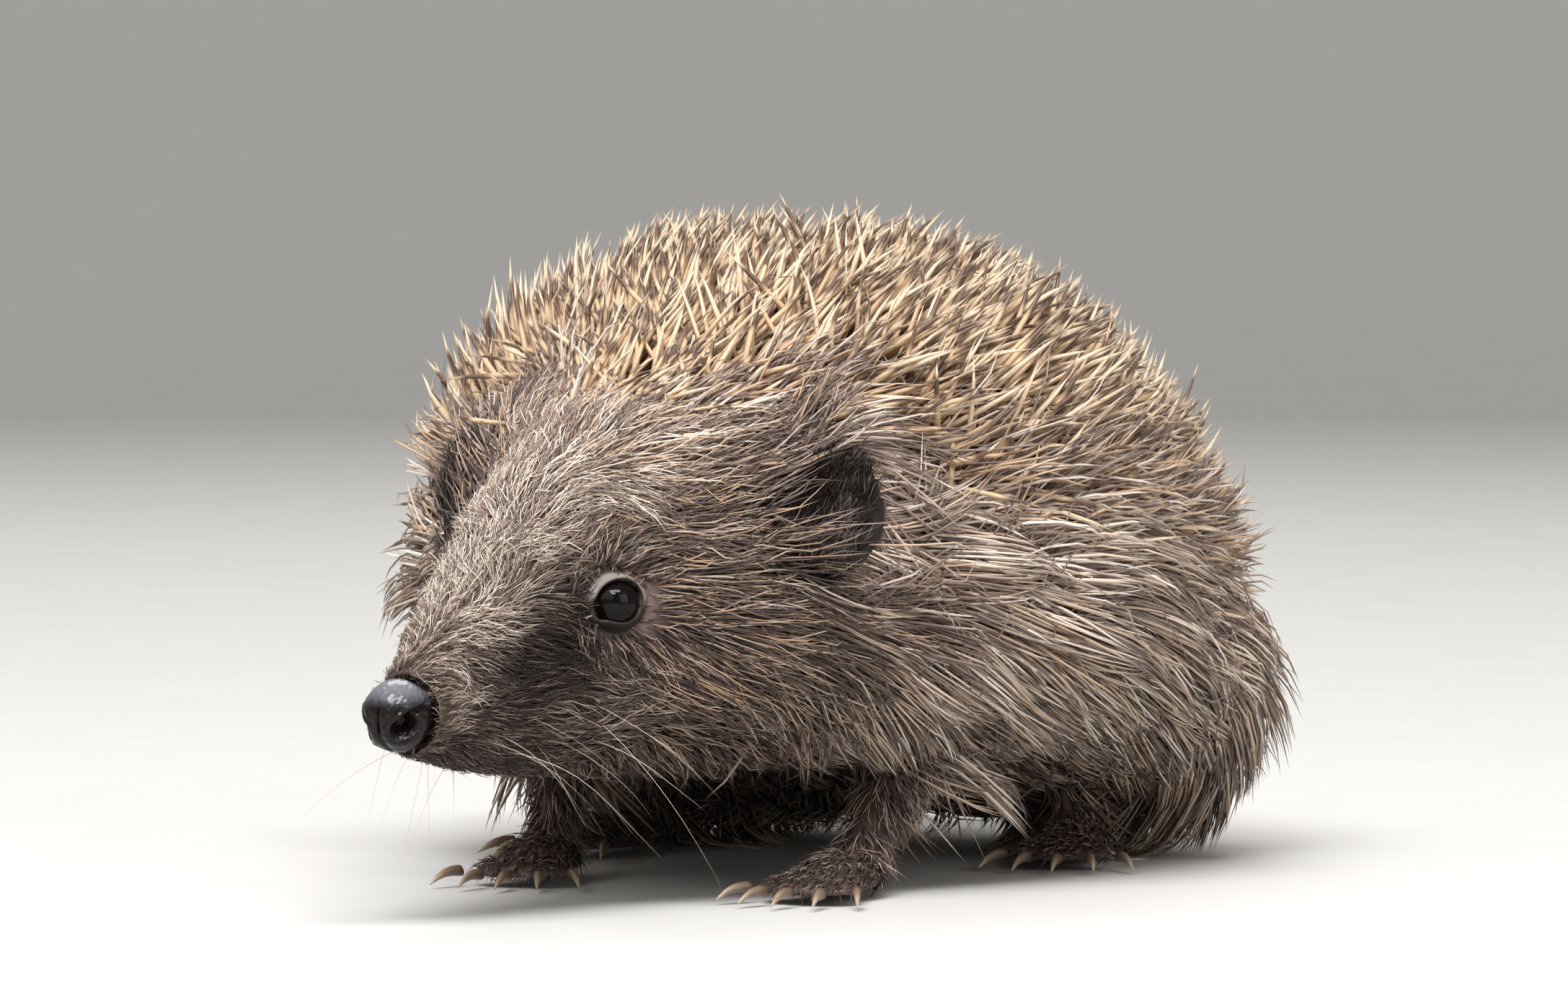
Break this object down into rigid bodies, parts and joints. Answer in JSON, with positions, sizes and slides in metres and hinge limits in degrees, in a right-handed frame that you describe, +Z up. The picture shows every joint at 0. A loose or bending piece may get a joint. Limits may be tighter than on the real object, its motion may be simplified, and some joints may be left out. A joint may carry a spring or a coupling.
{
  "type": "young european hedgehog",
  "caption": "Life-size still model of a young hedgehog standing on all fours, spiny coat flattened back, head low and turned slightly to its right.",
  "frame": {"origin": "on the ground, under the middle of the bounding box", "axes": "+Z up; the animal faces -Y, so +Y runs from nose to rump along its length, and its left side is +X"},
  "size_m": [0.104, 0.1528, 0.079],
  "materials": {
    "spines": "dry horn spines, cream with a dark brown band below a pale tip, over grey-brown underfur",
    "face_fur": "short and long grey-brown fur with pale guard hairs",
    "bare_nose": "wet black bare nose with a fine pebbled skin",
    "eyeball": "wet, very dark brown eye",
    "bare_skin": "dark bare skin of ears, lids and feet, thinly haired",
    "horn": "brownish horn claws, paler at the tips"
  },
  "bodies": {
    "root": {"nose": "bare_nose", "head": "face_fur", "lower_jaw": "face_fur", "neck": "spines", "trunk": "spines", "tail": "face_fur", "eye_left": "eyeball", "ear_left": "bare_skin", "eye_right": "eyeball", "ear_right": "bare_skin", "leg_front_left": "face_fur", "foot_front_left": "bare_skin", "claw_front_left_1": "horn", "claw_front_left_2": "horn", "claw_front_left_3": "horn", "claw_front_left_4": "horn", "claw_front_left_5": "horn", "leg_front_right": "face_fur", "foot_front_right": "bare_skin", "claw_front_right_1": "horn", "claw_front_right_2": "horn", "claw_front_right_3": "horn", "claw_front_right_4": "horn", "claw_front_right_5": "horn", "leg_hind_left": "face_fur", "foot_hind_left": "bare_skin", "claw_hind_left_1": "horn", "claw_hind_left_2": "horn", "claw_hind_left_3": "horn", "claw_hind_left_4": "horn", "claw_hind_left_5": "horn", "leg_hind_right": "face_fur", "foot_hind_right": "bare_skin", "claw_hind_right_1": "horn", "claw_hind_right_2": "horn", "claw_hind_right_3": "horn", "claw_hind_right_4": "horn", "claw_hind_right_5": "horn"}
  },
  "joints": []
}
